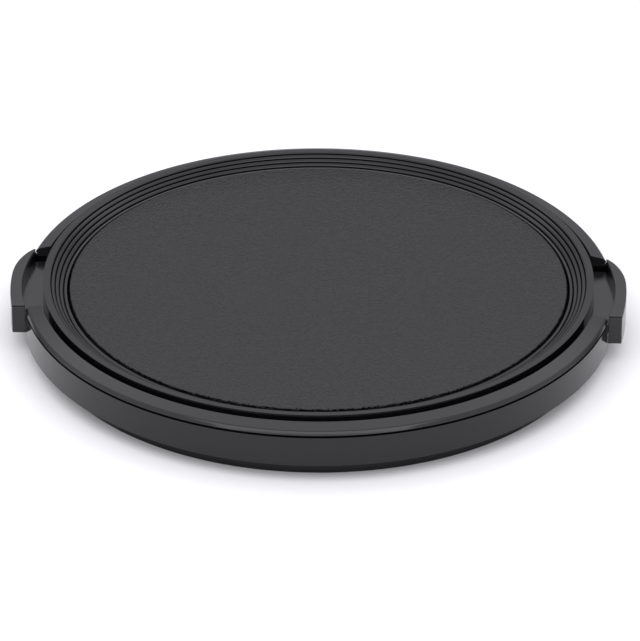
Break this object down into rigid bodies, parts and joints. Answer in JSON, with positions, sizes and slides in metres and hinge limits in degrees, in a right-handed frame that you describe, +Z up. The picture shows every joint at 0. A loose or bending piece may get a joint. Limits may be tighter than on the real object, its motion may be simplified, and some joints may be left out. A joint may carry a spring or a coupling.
{
  "type": "lens cap",
  "caption": "Round clip-in lens cap with a dished grained face, a threaded-ring spigot and sprung side latches.",
  "frame": {"origin": "centre of the base, at the foot of the spigot ring", "axes": "+Z up through the face, +X through the right-hand latch, -Y towards the camera"},
  "size_m": [0.09, 0.0864, 0.0093],
  "materials": {
    "shell_black": "satin moulded black",
    "panel_grained": "fine pebble grain, satin",
    "back_matt": "matt moulded black",
    "latch_black": "smooth moulded black",
    "spring_wire": "drawn steel wire"
  },
  "bodies": {
    "shell": {"front_shell": "shell_black", "centre_panel": "panel_grained", "back_plate": "back_matt", "spring_left_front": "spring_wire", "spring_left_rear": "spring_wire", "spring_right_front": "spring_wire", "spring_right_rear": "spring_wire"},
    "left_latch": {"latch_left": "latch_black"},
    "right_latch": {"latch_right": "latch_black"}
  },
  "joints": [
    {"name": "left_latch_slide", "type": "slide", "parent": "shell", "child": "left_latch", "axis": [1, 0, 0], "range_m": [0, 0.002], "stiffness_N_per_m": 900, "springref_m": -0.001, "deforming": ["spring_left_front", "spring_left_rear"]},
    {"name": "right_latch_slide", "type": "slide", "parent": "shell", "child": "right_latch", "axis": [-1, 0, 0], "range_m": [0, 0.002], "stiffness_N_per_m": 900, "springref_m": -0.001, "deforming": ["spring_right_front", "spring_right_rear"]}
  ]
}
